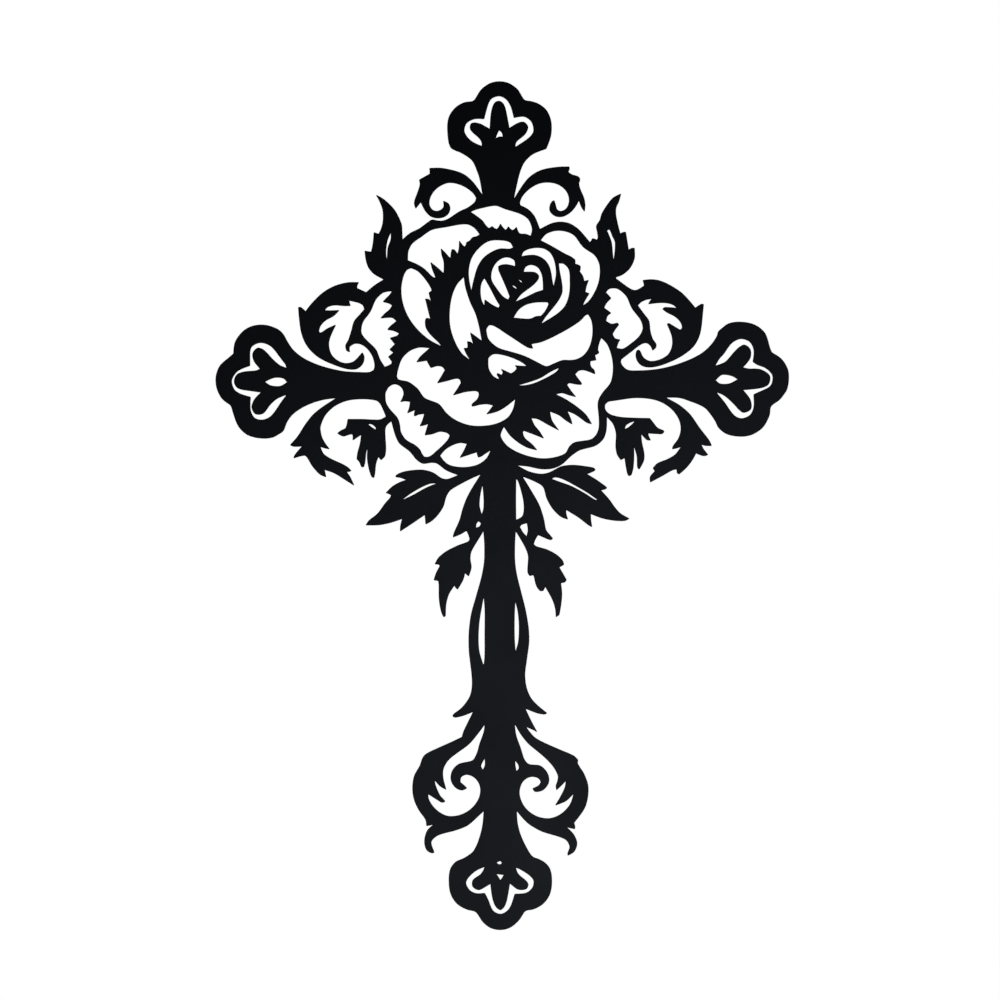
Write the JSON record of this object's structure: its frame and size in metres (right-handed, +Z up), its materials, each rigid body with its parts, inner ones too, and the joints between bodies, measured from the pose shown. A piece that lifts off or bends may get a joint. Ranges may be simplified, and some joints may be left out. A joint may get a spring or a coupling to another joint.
{
  "type": "metal wall cross",
  "caption": "Flat cut-metal wall cross with a pierced rose at the crossing, leaves and scrolls in the corners, trefoil ends and a tall stem, hung flat against a wall",
  "frame": {"origin": "on the flat back of the neck under the top trefoil, on the centre line, where the cross is held to the wall", "axes": "+Z up along the stem, -Y out of the front face towards the room, +Y into the wall, +X to the right as seen from the front"},
  "size_m": [0.3086, 0.002, 0.457],
  "materials": {
    "black_powder_coat": "matt black powder coat on cut steel sheet"
  },
  "bodies": {
    "root": {"cut_steel_cross": "black_powder_coat"}
  },
  "joints": []
}
